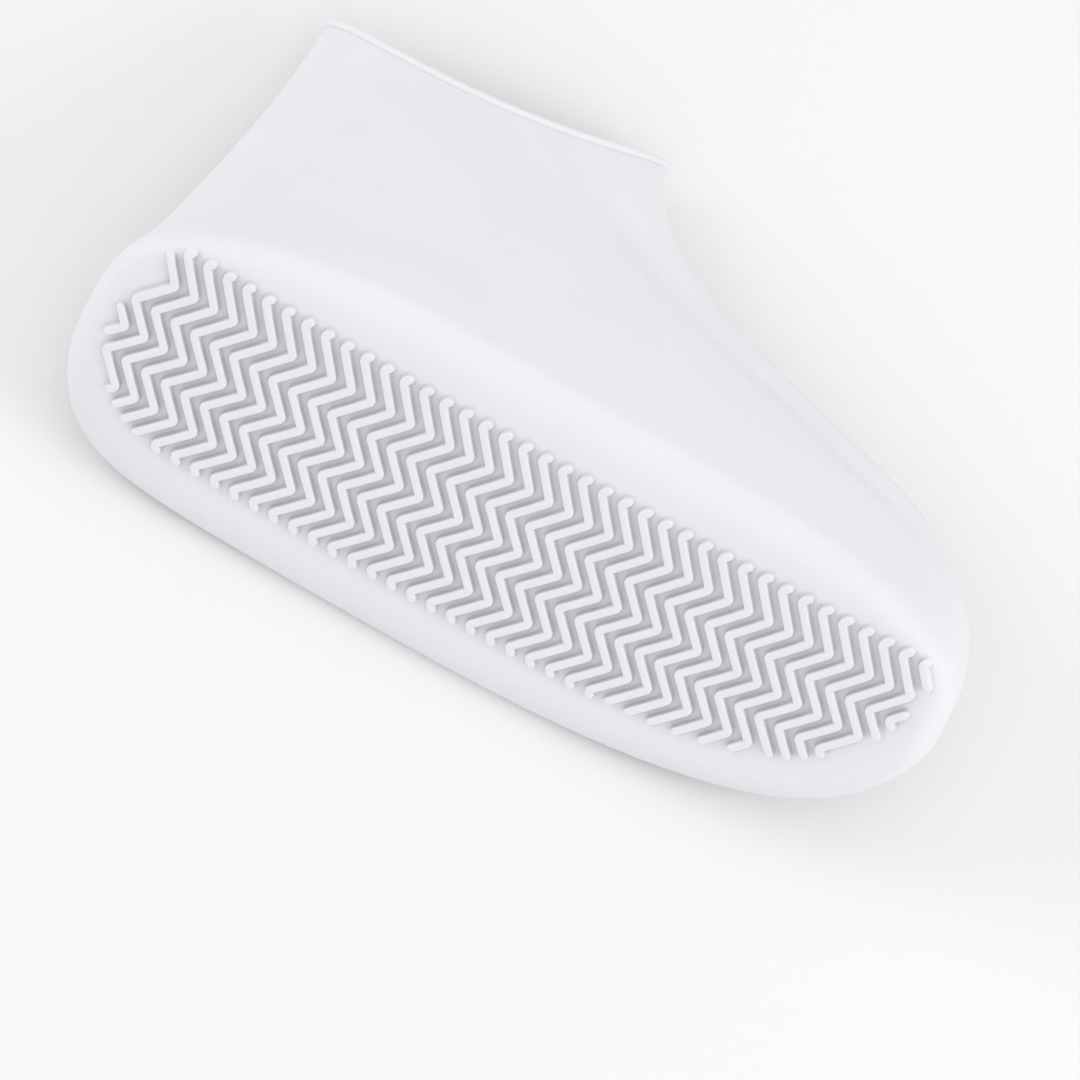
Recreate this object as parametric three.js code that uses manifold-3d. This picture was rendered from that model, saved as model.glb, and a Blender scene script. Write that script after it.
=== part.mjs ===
// A moulded silicone overshoe for a left shoe, lying on its outer side with the tread turned
// outwards. It is one hollow moulding: sole, walls, rolled rim and zigzag tread in one piece.
// Millimetres, +Z up. The shoe's own frame has x from heel to toe, y to its outer side and z from
// the underside of the sole up to the rim. The last lines lay it down.

import * as THREE from 'three';
import { mergeVertices } from 'three/addons/utils/BufferGeometryUtils.js';
import Module from 'manifold-3d';

const wasm = await Module();
wasm.setup();

// Driving dimensions
const WALL = 1.5;                // thickness of the side walls
const SOLE = 2.2;                // thickness of the sole between the ribs
const MID_X = 131;               // half way along the sole
const BEND = 2.7;                // heel and toe both curve this far to the inner side
const WIDEST = 0.46;             // where each section is widest, as a share of its length

const RIM_RADIUS = 1.5;          // rolled rim, a round bead
const RIM_OUTSET = 0.4;          // the bead's centre lies this far outside the middle of the wall

const RIB_COUNT = 40;
const RIB_PITCH = 6.27;
const RIB_WIDTH = 2.5;
const RIB_CORNER_RADIUS = 1.2;     // of the rib's middle line at its outer corners
const RIB_HEIGHT = 1.7;
const RIB_ROOT = 1.2;            // how deep the ribs reach into the sole
const RIB_SWING = 7.9;           // a rib's outer corners lie this far back from its inner ones
const RIB_DRIFT = 0.03;          // a rib leans forward by this share towards the inner side
const FIRST_RIB_X = 12.3;

const HOLLOW_INSET = 15;         // a soft hollow runs this far inside the fold of heel and instep
const HOLLOW_SPREAD = 7;         // and fades out over this distance to each side
const HOLLOW_INNER = 2.2;        // its depth on the inner side of the shoe
const HOLLOW_OUTER = 1.6;        // and on the outer side
const HOLLOW_FADE = { from: 30, full: 55, still: 95, end: 120 };   // heights over the sole

const LIE_ROLL = -121.0;         // degrees about x, from standing to lying on the outer side
const LIE_PITCH = 0.33;          // degrees about y that bring its three lowest points to the floor

const AROUND = 56;               // points round each section
const ROLL_STEPS = 3;            // sections over the rounded edge of the sole
const BEAD_STEPS = 6;
const CURVE_STEPS = 8;
const CLIP_STEP = 0.1;
const SHORTEST_LEG = 1.1;         // of a rib, from its last corner to its end
const RIB_CORNER_STEPS = 2;
const RIB_END_STEPS = 3;

const SILICONE = { color: 0xebebf0, roughness: 0.5, metalness: 0 };

// Sections from the flat of the sole up to the rim. Each is a closed loop through its back and
// front points. A shift is how far such a point lies to the inner side. inner and outer are the
// reach of the loop to its two sides, and a corner is the exponent of one quarter of the loop,
// 2 for an ellipse and more for a squarer one. dip lowers the sides below the two ends.
const COLUMNS = ['backX', 'backShift', 'backZ', 'frontX', 'frontShift', 'frontZ', 'inner', 'outer',
  'heelInnerCorner', 'heelOuterCorner', 'toeInnerCorner', 'toeOuterCorner', 'dip'];
const FLAT_OF_SOLE = [6.3, -2, 0, 256, 3, 0, 37, 38.5, 4.0, 3.7, 6, 2.4, 0];
const SECTIONS = [
  [-0.4, -3.0, 8, 263.5, 1.0, 10.0, 50.0, 52.4, 2.8, 4.0, 3.5, 2.25, 0],
  [2.7, -1.0, 18, 262.6, 6.0, 22.0, 50.0, 44.5, 2.7, 3.6, 3.0, 2.3, 0],
  [5.3, 3.0, 28, 257.6, 13.0, 36.0, 49.5, 36.5, 2.5, 3.1, 2.7, 2.3, 0],
  [7.6, 7.0, 38, 247.4, 19.5, 49.3, 49.0, 29.5, 2.4, 2.7, 2.5, 2.2, 0],
  [9.7, 11.0, 48, 233.4, 25.0, 60.3, 48.5, 23.0, 2.4, 2.5, 2.4, 2.1, 0],
  [11.8, 15.5, 58, 210.6, 29.0, 69.3, 48.0, 17.5, 2.3, 2.4, 2.4, 2.0, 0],
  [13.8, 19.8, 68, 188.6, 32.5, 77.3, 47.5, 12.5, 2.3, 2.3, 2.4, 2.0, 1],
  [15.4, 23.8, 78, 167.0, 35.3, 85.7, 46.8, 7.5, 2.2, 2.2, 2.4, 2.0, 2],
  [16.9, 27.4, 88, 149.2, 37.6, 95.9, 46.0, 2.5, 2.2, 2.2, 2.3, 2.0, 3.5],
  [18.1, 30.6, 99, 134.0, 39.2, 108.9, 45.4, -3.0, 2.1, 2.2, 2.2, 2.0, 6],
  [18.8, 33.5, 110, 125.3, 40.0, 123.4, 45.0, -9.0, 2.0, 2.2, 2.2, 2.0, 9],
  [19.2, 36.0, 121, 120.6, 40.0, 139.0, 44.9, -15.0, 2.0, 2.2, 2.2, 2.0, 12.3],
];

// The outer corners of the sole are rounder towards heel and toe and squarer towards the side. Both
// numbers multiply a corner's exponent, and speed says how soon the first gives way to the second.
const OUTER_CORNERS = {
  heel: { atEnd: 0.8, atSide: 1.42, speed: 1 },
  toe: { atEnd: 0.86, atSide: 1.11, speed: 4 },
};
const OUTER_CORNERS_FADE = { from: 15, to: 60 };   // heights over the sole

// The ribs' corners lie in rows along the sole. across is how far a row lies to the inner side.
const RIB_ROWS = [
  { across: 41.0, swing: 0 },
  { across: 30.2, swing: 1 },
  { across: 19.0, swing: 0 },
  { across: 8.6, swing: 1 },
  { across: -1.0, swing: 0 },
  { across: -10.8, swing: 1 },
  { across: -20.2, swing: 0 },
  { across: -30.0, swing: 1 },
  { across: -40.0, swing: 0 },
];

const lerp = THREE.MathUtils.lerp;

function asSection(row) {
  return Object.fromEntries(COLUMNS.map((name, i) => [name, row[i]]));
}

// The edge of the sole rolls up from the flat to the first full section along a quarter ellipse.
function edgeSections() {
  const flat = asSection(FLAT_OF_SOLE);
  const full = asSection(SECTIONS[0]);
  const sections = [];
  for (let k = 0; k < ROLL_STEPS; k++) {
    const angle = (Math.PI / 2) * (k / ROLL_STEPS);
    const section = {};
    for (const name of COLUMNS) section[name] = lerp(flat[name], full[name], Math.sin(angle));
    section.backZ = full.backZ * (1 - Math.cos(angle));
    section.frontZ = full.frontZ * (1 - Math.cos(angle));
    sections.push(section);
  }
  return sections;
}

function bendAt(x) {
  return BEND * ((x - MID_X) / MID_X) ** 2;
}

// The folds of heel and instep seen from the side: the line of back points and of front points.
const FOLDS = ['back', 'front'].map((end) =>
  SECTIONS.map(asSection).map((s) => new THREE.Vector3(s[end + 'X'], 0, s[end + 'Z'])));

// How much of the hollow's full depth there is at a place seen from the side, from 0 to 1.
function hollowAt(x, z) {
  const place = new THREE.Vector3(x, 0, z);
  const nearest = new THREE.Vector3();
  let distance = Infinity;
  for (const fold of FOLDS) {
    for (let k = 0; k + 1 < fold.length; k++) {
      new THREE.Line3(fold[k], fold[k + 1]).closestPointToPoint(place, true, nearest);
      distance = Math.min(distance, nearest.distanceTo(place));
    }
  }
  const fade = THREE.MathUtils.smoothstep(z, HOLLOW_FADE.from, HOLLOW_FADE.full)
    * (1 - THREE.MathUtils.smoothstep(z, HOLLOW_FADE.still, HOLLOW_FADE.end));
  return fade * Math.exp(-(((distance - HOLLOW_INSET) / HOLLOW_SPREAD) ** 2));
}

// What multiplies the exponent of an outer corner. along is 1 at heel or toe and 0 at the side.
function outerCorner(end, along, endZ) {
  const { atEnd, atSide, speed } = OUTER_CORNERS[end];
  const factor = lerp(atSide, atEnd, Math.abs(along) ** (2 * speed));
  const fade = THREE.MathUtils.smoothstep(endZ, OUTER_CORNERS_FADE.from, OUTER_CORNERS_FADE.to);
  return lerp(factor, 1, fade);
}

// A loop of points, from the front point round the inner side to the back and home again.
function sectionLoop(s) {
  const middle = lerp(s.backX, s.frontX, WIDEST);
  const loop = [];
  for (let i = 0; i < AROUND; i++) {
    const angle = (2 * Math.PI * i) / AROUND;
    const along = Math.cos(angle);
    const aside = Math.sin(angle);
    const onInnerSide = aside >= 0;
    const end = along >= 0 ? 'toe' : 'heel';
    const endZ = along >= 0 ? s.frontZ : s.backZ;
    const corner = onInnerSide ? s[end + 'InnerCorner']
      : s[end + 'OuterCorner'] * outerCorner(end, along, endZ);
    const reach = Math.abs(along) ** (2 / corner);
    const x = along >= 0 ? lerp(middle, s.frontX, reach) : lerp(middle, s.backX, reach);
    const share = (x - s.backX) / (s.frontX - s.backX);
    const centre = lerp(s.backShift, s.frontShift, share);
    const side = onInnerSide ? s.inner : -s.outer;
    const z = lerp(s.backZ, s.frontZ, share) - s.dip * aside ** 2;
    const hollow = (onInnerSide ? -HOLLOW_INNER : HOLLOW_OUTER) * hollowAt(x, z);
    const shift = lerp(centre, side, Math.abs(aside) ** (2 / corner)) + hollow + bendAt(x);
    loop.push(new THREE.Vector3(x, -shift, z));
  }
  return loop;
}

// Outward directions, square to the loop and to the line up the wall through the same point.
function outwardOf(loops, level, i) {
  const loop = loops[level];
  const above = loops[Math.min(level + 1, loops.length - 1)][i];
  const below = loops[Math.max(level - 1, 0)][i];
  const up = above.clone().sub(below).normalize();
  const round = loop[(i + 1) % AROUND].clone().sub(loop[(i + AROUND - 1) % AROUND]);
  const out = level === 0 ? new THREE.Vector3(0, 0, -1) : up.clone().cross(round).normalize();
  return { up, out };
}

// The wall's section, from the flat of the sole up the outside, over the bead and down inside.
function wallLoops() {
  const sections = [...edgeSections(), ...SECTIONS.map(asSection)];
  const middle = sections.map(sectionLoop);
  const top = middle.length - 1;
  const outside = middle.slice(0, top);
  const inside = outside.map((loop, level) => {
    const thickness = level < ROLL_STEPS ? lerp(SOLE, WALL, level / ROLL_STEPS) : WALL;
    return loop.map((p, i) => p.clone().addScaledVector(outwardOf(middle, level, i).out, -thickness));
  });
  const fromOutside = Math.acos((WALL / 2 - RIM_OUTSET) / RIM_RADIUS);
  const fromInside = Math.acos((WALL / 2 + RIM_OUTSET) / RIM_RADIUS);
  const bead = [];
  for (let k = 0; k <= BEAD_STEPS; k++) {
    const angle = lerp(-fromOutside, Math.PI + fromInside, k / BEAD_STEPS);
    bead.push(middle[top].map((p, i) => {
      const { up, out } = outwardOf(middle, top, i);
      return p.clone()
        .addScaledVector(out, RIM_OUTSET - WALL / 2 + RIM_RADIUS * Math.cos(angle))
        .addScaledVector(up, RIM_RADIUS * Math.sin(angle));
    }));
  }
  return [...outside, ...bead, ...inside.reverse()];
}

// One closed skin over the loops, with a flat cap under the sole and another on its inner floor.
function shellGeometry() {
  const loops = wallLoops();
  const points = loops.flat();
  const index = [];
  for (let level = 0; level + 1 < loops.length; level++) {
    for (let i = 0; i < AROUND; i++) {
      const next = (i + 1) % AROUND;
      const a = level * AROUND + i;
      const b = level * AROUND + next;
      index.push(a, a + AROUND, b, b, a + AROUND, b + AROUND);
    }
  }
  const lastLoop = (loops.length - 1) * AROUND;
  for (const [start, flip] of [[0, false], [lastLoop, true]]) {
    for (let i = 1; i < AROUND / 2; i++) {
      const left = start + i;
      const right = start + AROUND - i;
      const leftBefore = start + i - 1;
      const rightBefore = start + (AROUND - i + 1) % AROUND;
      addTriangle(index, leftBefore, left, right, flip);
      if (i > 1) addTriangle(index, leftBefore, right, rightBefore, flip);
    }
    addTriangle(index, start + AROUND / 2 - 1, start + AROUND / 2, start + AROUND / 2 + 1, flip);
  }
  const geometry = new THREE.BufferGeometry();
  geometry.setAttribute('position',
    new THREE.Float32BufferAttribute(points.flatMap((p) => [p.x, p.y, p.z]), 3));
  geometry.setIndex(index);
  return geometry;
}

function addTriangle(index, a, b, c, flip) {
  index.push(a, flip ? c : b, flip ? b : c);
}

// The area the tread fills, in x along the sole and y across it to the inner side. The inner edge
// is straight, and the outer one sweeps in at the heel and, more, at the toe.
function treadArea() {
  const area = new THREE.Shape();
  area.moveTo(15, 31.6);
  area.lineTo(247, 32.2);
  area.quadraticCurveTo(254, 32.2, 254, 23);
  area.bezierCurveTo(252, -2, 238, -20, 205, -27.2);
  area.quadraticCurveTo(185, -31.8, 150, -31.8);
  area.lineTo(40, -31.8);
  area.bezierCurveTo(20, -31.8, 7, -15, 8.2, 2);
  area.closePath();
  return area.getPoints(CURVE_STEPS);
}

function isInside(area, p) {
  let inside = false;
  for (let i = 0, j = area.length - 1; i < area.length; j = i++) {
    const a = area[i];
    const b = area[j];
    const crosses = (a.y > p.y) !== (b.y > p.y);
    if (crosses && p.x < a.x + ((p.y - a.y) * (b.x - a.x)) / (b.y - a.y)) inside = !inside;
  }
  return inside;
}

// The corners of one rib's zigzag before it is trimmed to the tread's area.
function zigzag(rib) {
  const x = FIRST_RIB_X + RIB_PITCH * rib;
  return RIB_ROWS.map(({ across, swing }) =>
    new THREE.Vector2(x + RIB_DRIFT * across - RIB_SWING * swing, across));
}

// The stretches of a zigzag that lie inside the area. Most ribs are one stretch, and the last is two.
function trim(corners, area) {
  const pieces = [];
  let piece = null;
  for (let k = 0; k + 1 < corners.length; k++) {
    const from = corners[k];
    const to = corners[k + 1];
    const steps = Math.ceil(from.distanceTo(to) / CLIP_STEP);
    for (let s = 0; s < steps; s++) {
      const p = from.clone().lerp(to, s / steps);
      if (!isInside(area, p)) {
        piece = null;
      } else if (!piece) {
        piece = [p, p];
        pieces.push(piece);
      } else {
        if (s === 0) piece.splice(piece.length - 1, 0, from);
        piece[piece.length - 1] = p;
      }
    }
  }
  return pieces.map(withoutStubs).filter(isLongEnough);
}

// A stretch that ends just past a corner ends at the corner instead.
function withoutStubs(piece) {
  const kept = [...piece];
  if (kept.length > 2 && kept[0].distanceTo(kept[1]) < SHORTEST_LEG) kept.shift();
  if (kept.length > 2 && kept.at(-1).distanceTo(kept.at(-2)) < SHORTEST_LEG) kept.pop();
  return kept;
}

function lengthOf(piece) {
  let length = 0;
  for (let i = 1; i < piece.length; i++) length += piece[i].distanceTo(piece[i - 1]);
  return length;
}

function isLongEnough(piece) {
  return lengthOf(piece) > RIB_WIDTH;
}

function addArc(outline, centre, fromAngle, turn, steps, radius) {
  for (let k = 0; k <= steps; k++) {
    const angle = fromAngle + (turn * k) / steps;
    outline.push(offset(centre, angle, radius));
  }
}

function offset(from, angle, distance) {
  return new THREE.Vector2(
    from.x + distance * Math.cos(angle), from.y + distance * Math.sin(angle));
}

function addSide(outline, piece) {
  for (let i = 1; i + 1 < piece.length; i++) {
    const before = piece[i].clone().sub(piece[i - 1]).angle();
    const after = piece[i + 1].clone().sub(piece[i]).angle();
    const turn = Math.atan2(Math.sin(after - before), Math.cos(after - before));
    const outwards = before + turn / 2 - Math.PI / 2;
    if (turn > 0) {
      const centre = offset(piece[i], outwards, -RIB_CORNER_RADIUS / Math.cos(turn / 2));
      addArc(outline, centre, before - Math.PI / 2, turn, RIB_CORNER_STEPS,
        RIB_WIDTH / 2 + RIB_CORNER_RADIUS);
    } else {
      outline.push(offset(piece[i], outwards, RIB_WIDTH / 2 / Math.cos(turn / 2)));
    }
  }
}

// The outline of a rib seen from below: both sides, rounded at the ends and the outer corners.
function ribOutline(piece) {
  const back = [...piece].reverse();
  const outline = [];
  for (const way of [piece, back]) {
    addSide(outline, way);
    const last = way[way.length - 1].clone().sub(way[way.length - 2]).angle();
    addArc(outline, way[way.length - 1], last - Math.PI / 2, Math.PI, RIB_END_STEPS, RIB_WIDTH / 2);
  }
  return outline;
}

// How far the underside has rolled up from the flat of the sole, straight above a place under it.
function undersideAt(shell, x, y) {
  const below = new THREE.Vector3(x, y, -SOLE);
  const hits = new THREE.Raycaster(below, new THREE.Vector3(0, 0, 1)).intersectObject(shell);
  return hits.length ? hits[0].point.z : 0;
}

// A rib stands on the underside, all along it, and follows the bend of the whole shoe.
function ribGeometry(piece, shell) {
  const outline = ribOutline(piece).map((p) => new THREE.Vector2(p.x, -p.y - bendAt(p.x)));
  const geometry = new THREE.ExtrudeGeometry(new THREE.Shape(outline),
    { depth: RIB_HEIGHT + RIB_ROOT, bevelEnabled: false });
  const corners = geometry.attributes.position;
  for (let i = 0; i < corners.count; i++) {
    const height = undersideAt(shell, corners.getX(i), corners.getY(i));
    corners.setZ(i, corners.getZ(i) - RIB_HEIGHT + height);
  }
  return geometry;
}

function toSolid(geometry) {
  const bare = geometry.clone();
  bare.deleteAttribute('normal');
  bare.deleteAttribute('uv');
  const merged = mergeVertices(bare);
  return new wasm.Manifold(new wasm.Mesh({
    numProp: 3,
    vertProperties: new Float32Array(merged.attributes.position.array),
    triVerts: new Uint32Array(merged.index.array),
  }));
}

function toGeometry(solid) {
  const mesh = solid.getMesh();
  const geometry = new THREE.BufferGeometry();
  geometry.setAttribute('position', new THREE.BufferAttribute(new Float32Array(mesh.vertProperties), 3));
  geometry.setIndex(new THREE.BufferAttribute(new Uint32Array(mesh.triVerts), 1));
  geometry.computeVertexNormals();
  return geometry;
}

function overshoeGeometry() {
  const area = treadArea();
  const shell = new THREE.Mesh(shellGeometry());
  let solid = toSolid(shell.geometry);
  for (let rib = 0; rib < RIB_COUNT; rib++) {
    for (const piece of trim(zigzag(rib), area)) solid = solid.add(toSolid(ribGeometry(piece, shell)));
  }
  return toGeometry(solid);
}

// Laid on its outer side, with the middle of its box over the origin and its lowest point at 0.
function layDown(geometry) {
  geometry.rotateX(THREE.MathUtils.degToRad(LIE_ROLL));
  geometry.rotateY(THREE.MathUtils.degToRad(LIE_PITCH));
  geometry.computeBoundingBox();
  const { min, max } = geometry.boundingBox;
  geometry.translate(-(min.x + max.x) / 2, -(min.y + max.y) / 2, -min.z);
  return geometry;
}

const overshoe = new THREE.Mesh(layDown(overshoeGeometry()), new THREE.MeshStandardMaterial(SILICONE));
overshoe.name = 'overshoe';

const group = new THREE.Group();
group.add(overshoe);

export default group;
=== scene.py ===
"""A moulded silicone overshoe for a left shoe, lying on its outer side with the tread turned outwards.

Sizes are in millimetres in the shoe's own frame: x from heel to toe, y to its outer side and z from the
underside of the sole up to the rim. The mesh is laid down and brought to metres at the end.
"""
import math

import bmesh
import bpy
import numpy as np
from mathutils import Matrix, Vector
from mathutils.bvhtree import BVHTree


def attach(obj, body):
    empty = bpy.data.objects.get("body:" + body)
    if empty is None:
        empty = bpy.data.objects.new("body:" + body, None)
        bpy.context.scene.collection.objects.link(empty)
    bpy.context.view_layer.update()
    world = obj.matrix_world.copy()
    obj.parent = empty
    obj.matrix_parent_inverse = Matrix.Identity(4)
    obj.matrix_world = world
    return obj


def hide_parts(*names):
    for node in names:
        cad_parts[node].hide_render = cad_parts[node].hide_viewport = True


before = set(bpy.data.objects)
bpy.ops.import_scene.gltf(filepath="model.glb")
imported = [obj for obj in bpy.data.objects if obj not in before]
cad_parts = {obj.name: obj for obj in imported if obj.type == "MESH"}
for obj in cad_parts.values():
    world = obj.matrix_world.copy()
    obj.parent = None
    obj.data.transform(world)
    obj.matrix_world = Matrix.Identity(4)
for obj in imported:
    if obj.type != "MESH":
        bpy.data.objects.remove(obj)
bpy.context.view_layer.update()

# Driving dimensions
WALL = 1.5                 # thickness of the side walls
SOLE = 2.2                 # thickness of the sole between the ribs
MID_X = 131                # half way along the sole
BEND = 2.7                 # heel and toe both curve this far to the inner side
WIDEST = 0.46              # where each section is widest, as a share of its length

RIM_RADIUS = 1.5           # rolled rim, a round bead
RIM_OUTSET = 0.4           # the bead's centre lies this far outside the middle of the wall

RIB_COUNT = 40
RIB_PITCH = 6.27
RIB_SWING = 7.9            # a rib's outer corners lie this far back from its inner ones
RIB_DRIFT = 0.03           # a rib leans forward by this share towards the inner side
FIRST_RIB_X = 12.3
RIB_CORNER_RADIUS = 1.2    # of the rib's middle line at its outer corners
SHORTEST_RIB = 2.5
SHORTEST_LEG = 1.1         # of a rib, from its last corner to its end

HOLLOW_INSET = 15          # a soft hollow runs this far inside the fold of heel and instep
HOLLOW_SPREAD = 7          # and fades out over this distance to each side
HOLLOW_INNER = 2.2         # its depth on the inner side of the shoe
HOLLOW_OUTER = 1.6         # and on the outer side
HOLLOW_FADE = {"from": 30, "full": 55, "still": 95, "end": 120}   # heights over the sole

LIE_ROLL = -121.0          # degrees about x, from standing to lying on the outer side
LIE_PITCH = 0.33           # degrees about y that bring its three lowest points to the floor
MILLIMETRE = 0.001

# How finely the mesh follows the forms
QUARTER_STEPS = 72         # points in each quarter of a section
QUARTER_SAMPLES = 400      # points that a quarter is measured with before they are spaced evenly
ROLL_STEPS = 10            # sections over the rounded edge of the sole
ROW_STEPS = 6              # sections from one row of the table to the next
INSIDE_STEP = 2            # the inside takes every second section
BEAD_STEPS = 14
AREA_STEPS = 24            # points on each curve of the tread's edge
CLIP_STEP = 0.05
RIB_STEP = 2.5             # longest stretch of a rib between two points
RIB_CORNER_STEPS = 5
RIB_END_STEPS = 8
LEAST_TURN = 0.01          # radians, from here on a turn of a rib's side is rounded
BELOW_SOLE = -5            # height from which the underside is looked for
SHARPEST_SMOOTH_EDGE = 34  # degrees

# Sections from the flat of the sole up to the rim. Each is a closed loop through its back and front
# points. A shift is how far such a point lies to the inner side. inner and outer are the reach of the
# loop to its two sides, and a corner is the exponent of one quarter of the loop, 2 for an ellipse and
# more for a squarer one. dip lowers the sides below the two ends.
COLUMNS = ["back_x", "back_shift", "back_z", "front_x", "front_shift", "front_z", "inner", "outer",
           "heel_inner_corner", "heel_outer_corner", "toe_inner_corner", "toe_outer_corner", "dip"]
FLAT_OF_SOLE = [6.3, -2, 0, 256, 3, 0, 37, 38.5, 4.0, 3.7, 6, 2.4, 0]
SECTIONS = [
    [-0.4, -3.0, 8, 263.5, 1.0, 10.0, 50.0, 52.4, 2.8, 4.0, 3.5, 2.25, 0],
    [2.7, -1.0, 18, 262.6, 6.0, 22.0, 50.0, 44.5, 2.7, 3.6, 3.0, 2.3, 0],
    [5.3, 3.0, 28, 257.6, 13.0, 36.0, 49.5, 36.5, 2.5, 3.1, 2.7, 2.3, 0],
    [7.6, 7.0, 38, 247.4, 19.5, 49.3, 49.0, 29.5, 2.4, 2.7, 2.5, 2.2, 0],
    [9.7, 11.0, 48, 233.4, 25.0, 60.3, 48.5, 23.0, 2.4, 2.5, 2.4, 2.1, 0],
    [11.8, 15.5, 58, 210.6, 29.0, 69.3, 48.0, 17.5, 2.3, 2.4, 2.4, 2.0, 0],
    [13.8, 19.8, 68, 188.6, 32.5, 77.3, 47.5, 12.5, 2.3, 2.3, 2.4, 2.0, 1],
    [15.4, 23.8, 78, 167.0, 35.3, 85.7, 46.8, 7.5, 2.2, 2.2, 2.4, 2.0, 2],
    [16.9, 27.4, 88, 149.2, 37.6, 95.9, 46.0, 2.5, 2.2, 2.2, 2.3, 2.0, 3.5],
    [18.1, 30.6, 99, 134.0, 39.2, 108.9, 45.4, -3.0, 2.1, 2.2, 2.2, 2.0, 6],
    [18.8, 33.5, 110, 125.3, 40.0, 123.4, 45.0, -9.0, 2.0, 2.2, 2.2, 2.0, 9],
    [19.2, 36.0, 121, 120.6, 40.0, 139.0, 44.9, -15.0, 2.0, 2.2, 2.2, 2.0, 12.3],
]

# The outer corners of the sole are rounder towards heel and toe and squarer towards the side. Both
# numbers multiply a corner's exponent, and speed says how soon the first one gives way to the second.
OUTER_CORNERS = {
    "back": {"at_end": 0.80, "at_side": 1.42, "speed": 1},
    "front": {"at_end": 0.86, "at_side": 1.11, "speed": 4},
}
OUTER_CORNERS_FADE = {"from": 15, "to": 60}   # heights over the sole

# The ribs' corners lie in rows along the sole. across is how far a row lies to the inner side.
RIB_ROWS = [
    {"across": 41.0, "swing": 0},
    {"across": 30.2, "swing": 1},
    {"across": 19.0, "swing": 0},
    {"across": 8.6, "swing": 1},
    {"across": -1.0, "swing": 0},
    {"across": -10.8, "swing": 1},
    {"across": -20.2, "swing": 0},
    {"across": -30.0, "swing": 1},
    {"across": -40.0, "swing": 0},
]

# A rib's profile from its root in the sole over the small fillet to its soft top.
RIB_PROFILE = [
    {"half_width": 1.70, "height": -1.20},
    {"half_width": 1.70, "height": -0.20},
    {"half_width": 1.50, "height": 0.08},
    {"half_width": 1.39, "height": 0.30},
    {"half_width": 1.33, "height": 0.70},
    {"half_width": 1.29, "height": 1.20},
    {"half_width": 1.21, "height": 1.42},
    {"half_width": 1.06, "height": 1.58},
    {"half_width": 0.84, "height": 1.67},
    {"half_width": 0.45, "height": 1.70},
]

# Silicone, in metres. Soft clouds lead from the deep colour to the light one and from the least
# roughness to the most. The base colour is darkened where the surface is closed in, which paints
# shade into the grooves between the ribs and under the rim bead.
COLOUR = (0.81, 0.81, 0.84)
COLOUR_DEEP = (0.795, 0.795, 0.83)
CLOUDS = {"Scale": 28, "Detail": 3, "Roughness": 0.55}
CLOUDS_DEEP = 0.3
CLOUDS_LIGHT = 0.7
ROUGHNESS = {"To Min": 0.55, "To Max": 0.66}
# Painted shade: the base colour darkens by ambient occlusion within this reach, in the grooves and
# under the rim.
PAINTED_SHADE_REACH = 0.003
PAINTED_SHADE_SAMPLES = 8
PAINTED_GROOVE_SHADE = {"From Min": 0.5, "From Max": 0.88, "To Min": 0.68, "To Max": 1}
GRAIN_SIZE = 0.0006
GRAIN = {"Scale": 1 / GRAIN_SIZE, "Detail": 2, "Roughness": 0.5}
GRAIN_RELIEF = {"Strength": 0.35, "Distance": 0.00002}
BODY = {
    "IOR": 1.41,
    "Specular IOR Level": 0.4,
    "Subsurface Weight": 0.1,
    "Subsurface Radius": (1, 0.9, 0.85),
    "Subsurface Scale": 0.0015,
}

# Camera, in metres and degrees
CAMERA_DISTANCE = 10
CAMERA_LENS = 1206.7
CAMERA_CLIP = 30
CAMERA_UNDER_SOLE = 55     # the camera looks in from this far under the sole's plane
CAMERA_ROLL = 29.2
LOOK_AT = (140.9, 0, 8.2)  # millimetres in the shoe's own frame

# Light and floor, in metres and watts
WORLD_STRENGTH = 0.77
LIGHTS_AIM = (0, 0, 0.04)
LIGHTS = {
    "left": {"place": (-1.53, -0.2, 0.94), "size": 1.2, "power": 6.5},
    "right": {"place": (1.53, -0.2, 0.94), "size": 1.2, "power": 8.8},
    "front": {"place": (0, -0.8, 1.8), "size": 1.2, "power": 2.4},
    "top": {"place": (0, 0.5, 2), "size": 2, "power": 3},
}
FLOOR_SIZE = 12
FLOOR_COLOUR = (0.86, 0.86, 0.86)
FLOOR_ROUGHNESS = 0.9


def lerp(a, b, t):
    return a + (b - a) * t


def smoothstep(x, low, high):
    t = np.clip((x - low) / (high - low), 0, 1)
    return t * t * (3 - 2 * t)


def bend_at(x):
    return BEND * ((x - MID_X) / MID_X) ** 2


def smooth_rows():
    """The table's rows with more between them on a Catmull-Rom curve, as one array."""
    rows = np.array(SECTIONS, float)
    ahead = np.vstack([2 * rows[0] - rows[1], rows, 2 * rows[-1] - rows[-2]])
    out = []
    for k in range(len(rows) - 1):
        before, start, end, after = ahead[k:k + 4]
        for step in range(ROW_STEPS):
            t = step / ROW_STEPS
            out.append(0.5 * (2 * start + (end - before) * t
                              + (2 * before - 5 * start + 4 * end - after) * t ** 2
                              + (after - before + 3 * (start - end)) * t ** 3))
    out.append(rows[-1])
    return np.array(out)


def edge_rows():
    """The edge of the sole rolls up from the flat to the first full section along a quarter ellipse."""
    flat = np.array(FLAT_OF_SOLE, float)
    full = np.array(SECTIONS[0], float)
    out = []
    for step in range(ROLL_STEPS):
        angle = math.pi / 2 * step / ROLL_STEPS
        row = lerp(flat, full, math.sin(angle))
        for name in ("back_z", "front_z"):
            at = COLUMNS.index(name)
            row[at] = full[at] * (1 - math.cos(angle))
        out.append(row)
    return np.array(out)


ROWS = smooth_rows()
FOLDS = [ROWS[:, [COLUMNS.index(end + "_x"), COLUMNS.index(end + "_z")]] for end in ("back", "front")]


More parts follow.
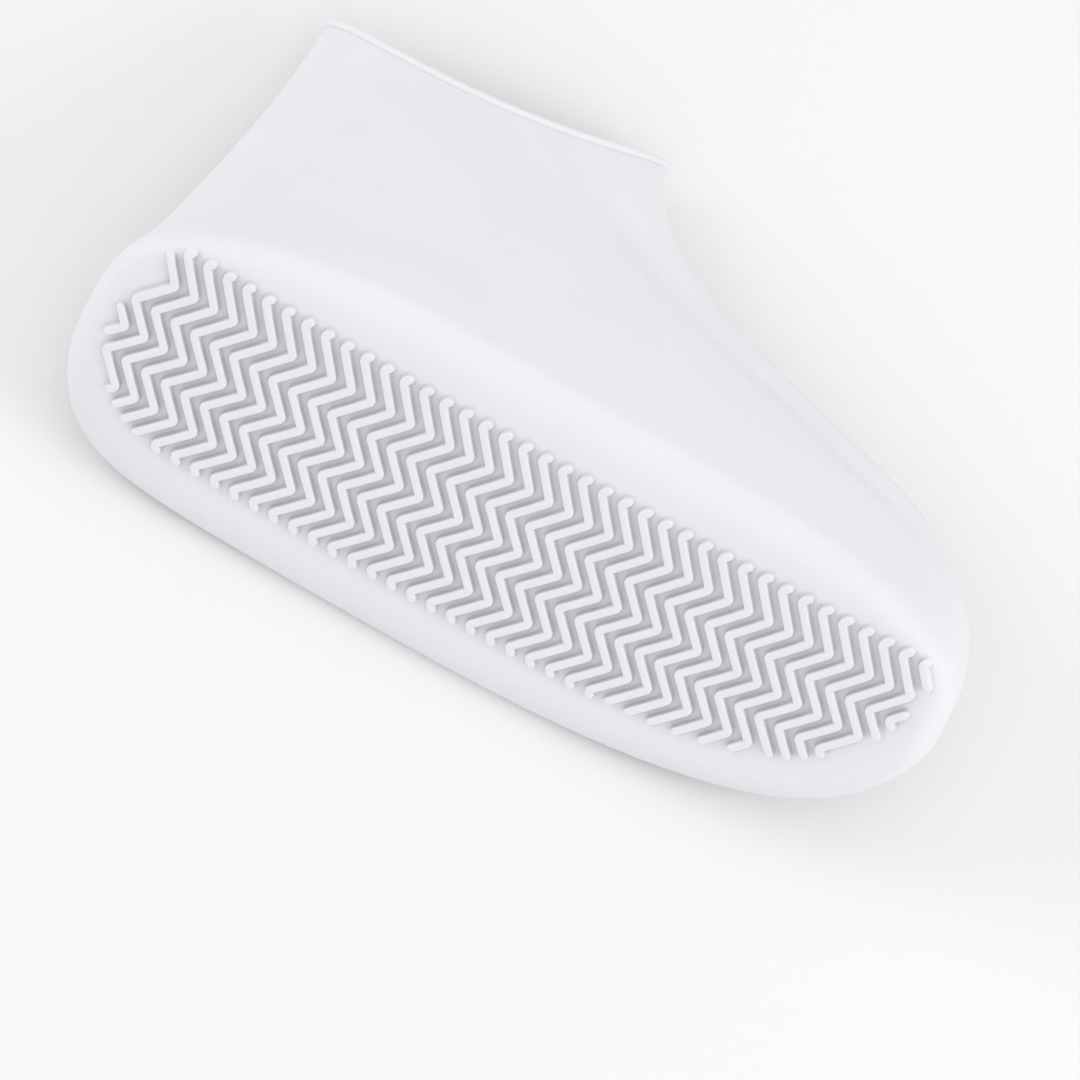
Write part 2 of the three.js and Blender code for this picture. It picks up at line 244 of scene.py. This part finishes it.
def hollow_at(x, z):
    """How much of the hollow's full depth there is at places seen from the side, from 0 to 1."""
    place = np.stack([x, z], axis=1)
    nearest = np.full(len(place), np.inf)
    for fold in FOLDS:
        for start, end in zip(fold[:-1], fold[1:]):
            along = end - start
            share = np.clip((place - start) @ along / (along @ along), 0, 1)
            away = place - start - share[:, None] * along
            nearest = np.minimum(nearest, np.linalg.norm(away, axis=1))
    fade = smoothstep(z, HOLLOW_FADE["from"], HOLLOW_FADE["full"])
    fade = fade * (1 - smoothstep(z, HOLLOW_FADE["still"], HOLLOW_FADE["end"]))
    return fade * np.exp(-((nearest - HOLLOW_INSET) / HOLLOW_SPREAD) ** 2)


def quarter(s, end, side):
    """A quarter of a section from its end point to its widest point, evenly spaced along its length."""
    angle = np.linspace(0, math.pi / 2, QUARTER_SAMPLES)
    corner = s[("toe" if end == "front" else "heel") + "_" + side + "_corner"]
    if side == "outer":
        form = OUTER_CORNERS[end]
        factor = lerp(form["at_side"], form["at_end"], np.cos(angle) ** (2 * form["speed"]))
        fade = 1 - smoothstep(s[end + "_z"], OUTER_CORNERS_FADE["from"], OUTER_CORNERS_FADE["to"])
        corner = corner * lerp(1, factor, fade)
    along = np.cos(angle) ** (2 / corner)
    aside = np.sin(angle) ** (2 / corner)
    middle = lerp(s["back_x"], s["front_x"], WIDEST)
    x = lerp(middle, s[end + "_x"], along)
    share = (x - s["back_x"]) / (s["front_x"] - s["back_x"])
    centre = lerp(s["back_shift"], s["front_shift"], share)
    reach = s["inner"] if side == "inner" else -s["outer"]
    z = lerp(s["back_z"], s["front_z"], share) - s["dip"] * np.sin(angle) ** 2
    across = lerp(centre, reach, aside)
    points = np.stack([x, across, z], axis=1)
    length = np.concatenate([[0], np.cumsum(np.linalg.norm(np.diff(points, axis=0), axis=1))])
    even = np.linspace(0, length[-1], QUARTER_STEPS + 1)
    return np.stack([np.interp(even, length, points[:, k]) for k in range(3)], axis=1)


def section_loop(row):
    """A loop of points, from the front point round the inner side to the back and home again."""
    s = dict(zip(COLUMNS, row))
    loop = np.vstack([
        quarter(s, "front", "inner")[:-1],
        quarter(s, "back", "inner")[:0:-1],
        quarter(s, "back", "outer")[:-1],
        quarter(s, "front", "outer")[:0:-1],
    ])
    x, across, z = loop.T
    side = np.arange(len(loop)) < 2 * QUARTER_STEPS
    hollow = np.where(side, -HOLLOW_INNER, HOLLOW_OUTER) * hollow_at(x, z)
    return np.stack([x, -(across + hollow + bend_at(x)), z], axis=1)


def unit(vectors):
    return vectors / np.linalg.norm(vectors, axis=-1, keepdims=True)


def outward(loops):
    """Directions up the wall and out of it at every point of the loops."""
    up = unit(np.gradient(loops, axis=0))
    around = np.roll(loops, -1, axis=1) - np.roll(loops, 1, axis=1)
    out = unit(np.cross(up, around))
    out[0] = (0, 0, -1)
    return up, out


def wall_loops():
    """The wall's section, from the flat of the sole up the outside, over the bead and down inside."""
    rows = np.vstack([edge_rows(), ROWS])
    middle = np.array([section_loop(row) for row in rows])
    up, out = outward(middle)
    levels = np.arange(len(rows))
    thickness = lerp(SOLE, WALL, np.clip(levels / ROLL_STEPS, 0, 1))[:, None, None]
    inside = middle - out * thickness
    from_outside = math.acos((WALL / 2 - RIM_OUTSET) / RIM_RADIUS)
    from_inside = math.acos((WALL / 2 + RIM_OUTSET) / RIM_RADIUS)
    bead = []
    for step in range(BEAD_STEPS + 1):
        angle = lerp(-from_outside, math.pi + from_inside, step / BEAD_STEPS)
        away = RIM_OUTSET - WALL / 2 + RIM_RADIUS * math.cos(angle)
        bead.append(middle[-1] + out[-1] * away + up[-1] * RIM_RADIUS * math.sin(angle))
    return np.concatenate([middle[:-1], np.array(bead), inside[-2:0:-INSIDE_STEP], inside[:1]])


def cap(bm, ring, flip):
    """Closes a loop with strips between its two halves."""
    count = len(ring)
    half = count // 2
    for k in range(half):
        corners = [ring[k], ring[k + 1], ring[(count - k - 1) % count], ring[(count - k) % count]]
        corners = list(dict.fromkeys(corners))
        bm.faces.new(corners[::-1] if flip else corners)


def skin(bm, loops):
    """Faces between neighbouring loops, each a list of as many vertices."""
    for lower, upper in zip(loops[:-1], loops[1:]):
        for k in range(len(lower)):
            j = (k + 1) % len(lower)
            bm.faces.new([lower[k], upper[k], upper[j], lower[j]])


def new_object(name, bm):
    mesh = bpy.data.meshes.new(name)
    bm.to_mesh(mesh)
    bm.free()
    obj = bpy.data.objects.new(name, mesh)
    bpy.context.scene.collection.objects.link(obj)
    return obj


def make_shell():
    bm = bmesh.new()
    loops = [[bm.verts.new(p) for p in loop] for loop in wall_loops()]
    skin(bm, loops)
    cap(bm, loops[0], False)
    cap(bm, loops[-1], True)
    bmesh.ops.recalc_face_normals(bm, faces=bm.faces)
    return new_object("overshoe_silicone", bm)


def curve(points, start):
    """A quadratic or cubic curve from start through the given points, as in a drawing."""
    controls = [np.array(start, float)] + [np.array(p, float) for p in points]
    out = []
    for step in range(1, AREA_STEPS + 1):
        level = controls
        while len(level) > 1:
            level = [lerp(a, b, step / AREA_STEPS) for a, b in zip(level[:-1], level[1:])]
        out.append(tuple(level[0]))
    return out


def tread_area():
    """The area the tread fills, in x along the sole and y across it to the inner side."""
    area = [(15, 31.6), (247, 32.2)]
    area += curve([(254, 32.2), (254, 23)], area[-1])
    area += curve([(252, -2), (238, -20), (205, -27.2)], area[-1])
    area += curve([(185, -31.8), (150, -31.8)], area[-1])
    area.append((40, -31.8))
    area += curve([(20, -31.8), (7, -15), (8.2, 2)], area[-1])
    return area


def is_inside(area, x, y):
    inside = False
    for (ax, ay), (bx, by) in zip(area, area[-1:] + area[:-1]):
        if (ay > y) != (by > y) and x < ax + (y - ay) * (bx - ax) / (by - ay):
            inside = not inside
    return inside


def zigzag(rib):
    """The corners of one rib's zigzag before it is trimmed to the tread's area."""
    x = FIRST_RIB_X + RIB_PITCH * rib
    return [Vector((x + RIB_DRIFT * row["across"] - RIB_SWING * row["swing"], row["across"]))
            for row in RIB_ROWS]


def length_of(piece):
    return sum((b - a).length for a, b in zip(piece[:-1], piece[1:]))


def trim(corners, area):
    """The stretches of a zigzag that lie inside the area."""
    pieces = []
    piece = None
    for start, end in zip(corners[:-1], corners[1:]):
        steps = math.ceil((end - start).length / CLIP_STEP)
        for step in range(steps):
            p = start.lerp(end, step / steps)
            if not is_inside(area, p.x, p.y):
                piece = None
            elif piece is None:
                piece = [p, p]
                pieces.append(piece)
            else:
                if step == 0:
                    piece.insert(-1, start)
                piece[-1] = p
    return [piece for piece in map(without_stubs, pieces) if length_of(piece) > SHORTEST_RIB]


def without_stubs(piece):
    """A stretch that ends just past a corner ends at the corner instead."""
    if len(piece) > 2 and (piece[1] - piece[0]).length < SHORTEST_LEG:
        piece = piece[1:]
    if len(piece) > 2 and (piece[-1] - piece[-2]).length < SHORTEST_LEG:
        piece = piece[:-1]
    return piece


def divided(piece):
    """The same stretch with points added along its straight parts."""
    out = []
    for start, end in zip(piece[:-1], piece[1:]):
        steps = max(1, math.ceil((end - start).length / RIB_STEP))
        out += [start.lerp(end, step / steps) for step in range(steps)]
    out.append(piece[-1])
    return out


def angle_of(v):
    return math.atan2(v.y, v.x)


def arc(outline, centre, start, turn, steps, radius):
    """Adds the points of an arc to an outline. Both angles are in radians."""
    for step in range(steps + 1):
        angle = start + turn * step / steps
        outline.append(centre + radius * Vector((math.cos(angle), math.sin(angle))))


def one_side(outline, way, half_width):
    """Adds the corners on the right side of a rib's middle line, rounded where it turns to the left."""
    for before, here, after in zip(way[:-2], way[1:-1], way[2:]):
        coming = angle_of(here - before)
        turn = math.remainder(angle_of(after - here) - coming, math.tau)
        angle = coming + turn / 2 - math.pi / 2
        outwards = Vector((math.cos(angle), math.sin(angle)))
        if turn > LEAST_TURN:
            centre = here - outwards * RIB_CORNER_RADIUS / math.cos(turn / 2)
            fillet = half_width + RIB_CORNER_RADIUS
            arc(outline, centre, coming - math.pi / 2, turn, RIB_CORNER_STEPS, fillet)
        else:
            outline.append(here + outwards * half_width / math.cos(turn / 2))


def rib_outline(piece, half_width):
    """A rib's outline seen from below, rounded at the ends and at the outer corners."""
    outline = []
    for way in (piece, piece[::-1]):
        one_side(outline, way, half_width)
        last = angle_of(way[-1] - way[-2])
        arc(outline, way[-1], last - math.pi / 2, math.pi, RIB_END_STEPS, half_width)
    return outline


def make_ribs(shell):
    """All the ribs. Each stands on the underside and follows the bend of the whole shoe."""
    depsgraph = bpy.context.evaluated_depsgraph_get()
    underside = BVHTree.FromObject(shell, depsgraph)
    area = tread_area()
    bm = bmesh.new()
    for rib in range(RIB_COUNT):
        for piece in trim(zigzag(rib), area):
            piece = divided(piece)
            loops = []
            for step in RIB_PROFILE:
                loop = []
                for p in rib_outline(piece, step["half_width"]):
                    y = -p.y - bend_at(p.x)
                    hit = underside.ray_cast(Vector((p.x, y, BELOW_SOLE)), Vector((0, 0, 1)))[0]
                    loop.append(bm.verts.new((p.x, y, (hit.z if hit else 0) - step["height"])))
                loops.append(loop)
            skin(bm, loops)
            bm.faces.new(loops[0][::-1])
            bm.faces.new(loops[-1])
    bmesh.ops.triangulate(bm, faces=[f for f in bm.faces if len(f.verts) > 4])
    bmesh.ops.recalc_face_normals(bm, faces=bm.faces)
    return new_object("ribs", bm)


def unite(shell, ribs):
    """Shell and ribs become one solid."""
    modifier = shell.modifiers.new("union", "BOOLEAN")
    modifier.operation = "UNION"
    modifier.solver = "MANIFOLD"
    modifier.object = ribs
    evaluated = shell.evaluated_get(bpy.context.evaluated_depsgraph_get())
    mesh = bpy.data.meshes.new_from_object(evaluated)
    shell.modifiers.clear()
    shell.data = mesh
    bpy.data.objects.remove(ribs)


def lie_matrix():
    pitch = Matrix.Rotation(math.radians(LIE_PITCH), 4, "Y")
    roll = Matrix.Rotation(math.radians(LIE_ROLL), 4, "X")
    return pitch @ roll


def lay_down(obj):
    """Lays it on its side in metres, its box over the origin and its lowest point at 0."""
    turned = lie_matrix()
    obj.data.transform(turned)
    points = np.empty(len(obj.data.vertices) * 3)
    obj.data.vertices.foreach_get("co", points)
    points = points.reshape(-1, 3)
    low, high = points.min(axis=0), points.max(axis=0)
    move = Vector((-(low[0] + high[0]) / 2, -(low[1] + high[1]) / 2, -low[2]))
    to_floor = Matrix.Scale(MILLIMETRE, 4) @ Matrix.Translation(move)
    obj.data.transform(to_floor)
    return to_floor @ turned


def node(tree, kind, **inputs):
    made = tree.nodes.new(kind)
    for name, value in inputs.items():
        made.inputs[name].default_value = value
    return made


def silicone():
    """Satin white silicone, faintly cool, with slight clouding, the fine grain of its mould and painted
    shade in its grooves.
    """
    material = bpy.data.materials.new("silicone")
    material.use_nodes = True
    tree = material.node_tree
    shader = tree.nodes["Principled BSDF"]
    link = tree.links.new
    place = node(tree, "ShaderNodeTexCoord").outputs["Object"]

    clouds = node(tree, "ShaderNodeTexNoise", **CLOUDS)
    link(place, clouds.inputs["Vector"])
    tint = tree.nodes.new("ShaderNodeValToRGB")
    tint.color_ramp.elements[0].position = CLOUDS_DEEP
    tint.color_ramp.elements[0].color = (*COLOUR_DEEP, 1)
    tint.color_ramp.elements[1].position = CLOUDS_LIGHT
    tint.color_ramp.elements[1].color = (*COLOUR, 1)
    link(clouds.outputs["Fac"], tint.inputs["Fac"])

    # Painted shade in the grooves and under the rim: occlusion darkens the base colour.
    openness = node(tree, "ShaderNodeAmbientOcclusion", Distance=PAINTED_SHADE_REACH)
    openness.only_local = True
    openness.samples = PAINTED_SHADE_SAMPLES
    shade = node(tree, "ShaderNodeMapRange", **PAINTED_GROOVE_SHADE)
    link(openness.outputs["AO"], shade.inputs["Value"])
    shaded = tree.nodes.new("ShaderNodeVectorMath")
    shaded.operation = "SCALE"
    link(tint.outputs["Color"], shaded.inputs[0])
    link(shade.outputs["Result"], shaded.inputs["Scale"])
    link(shaded.outputs["Vector"], shader.inputs["Base Color"])

    gloss = node(tree, "ShaderNodeMapRange", **ROUGHNESS)
    link(clouds.outputs["Fac"], gloss.inputs["Value"])
    link(gloss.outputs["Result"], shader.inputs["Roughness"])

    grain = node(tree, "ShaderNodeTexNoise", **GRAIN)
    link(place, grain.inputs["Vector"])
    bump = node(tree, "ShaderNodeBump", **GRAIN_RELIEF)
    link(grain.outputs["Fac"], bump.inputs["Height"])
    link(bump.outputs["Normal"], shader.inputs["Normal"])

    for name, value in BODY.items():
        shader.inputs[name].default_value = value
    return material


def make_floor():
    material = bpy.data.materials.new("floor")
    material.use_nodes = True
    shader = material.node_tree.nodes["Principled BSDF"]
    shader.inputs["Base Color"].default_value = (*FLOOR_COLOUR, 1)
    shader.inputs["Roughness"].default_value = FLOOR_ROUGHNESS
    bpy.ops.mesh.primitive_plane_add(size=FLOOR_SIZE)
    floor = bpy.context.object
    floor.name = "floor"
    floor.data.materials.append(material)


def area_light(name, place, size, power):
    data = bpy.data.lights.new(name, "AREA")
    data.shape = "DISK"
    data.size = size
    data.energy = power
    light = bpy.data.objects.new(name, data)
    light.location = place
    light.rotation_mode = "QUATERNION"
    light.rotation_quaternion = (Vector(LIGHTS_AIM) - Vector(place)).to_track_quat("-Z", "Y")
    bpy.context.scene.collection.objects.link(light)


def make_lights():
    world = bpy.data.worlds.new("studio")
    world.use_nodes = True
    background = world.node_tree.nodes["Background"]
    background.inputs["Color"].default_value = (1, 1, 1, 1)
    background.inputs["Strength"].default_value = WORLD_STRENGTH
    bpy.context.scene.world = world
    bpy.context.scene.view_settings.view_transform = "Standard"
    for name, light in LIGHTS.items():
        area_light(name, **light)


def make_camera(to_world):
    """The camera looks in from under the sole, turned so that the toe points down to the right."""
    under = math.radians(CAMERA_UNDER_SOLE)
    turned = lie_matrix().to_3x3()
    back = turned @ Vector((0, -math.cos(under), -math.sin(under)))
    up = turned @ Vector((0, -math.sin(under), math.cos(under)))
    right = turned @ Vector((1, 0, 0))
    roll = math.radians(CAMERA_ROLL)
    screen_right = right * math.cos(roll) + up * math.sin(roll)
    screen_up = up * math.cos(roll) - right * math.sin(roll)
    place = to_world @ Vector(LOOK_AT) + back * CAMERA_DISTANCE
    data = bpy.data.cameras.new("camera")
    data.lens = CAMERA_LENS
    data.clip_end = CAMERA_CLIP
    camera = bpy.data.objects.new("camera", data)
    axes = Matrix((screen_right, screen_up, back)).transposed()
    camera.matrix_world = Matrix.Translation(place) @ axes.to_4x4()
    bpy.context.scene.collection.objects.link(camera)
    bpy.context.scene.camera = camera


overshoe = make_shell()
unite(overshoe, make_ribs(overshoe))
shoe_to_world = lay_down(overshoe)
overshoe.data.shade_smooth()
overshoe.data.set_sharp_from_angle(angle=math.radians(SHARPEST_SMOOTH_EDGE))
overshoe.data.materials.clear()
overshoe.data.materials.append(silicone())
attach(overshoe, "root")
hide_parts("overshoe")

make_floor()
make_lights()
make_camera(shoe_to_world)
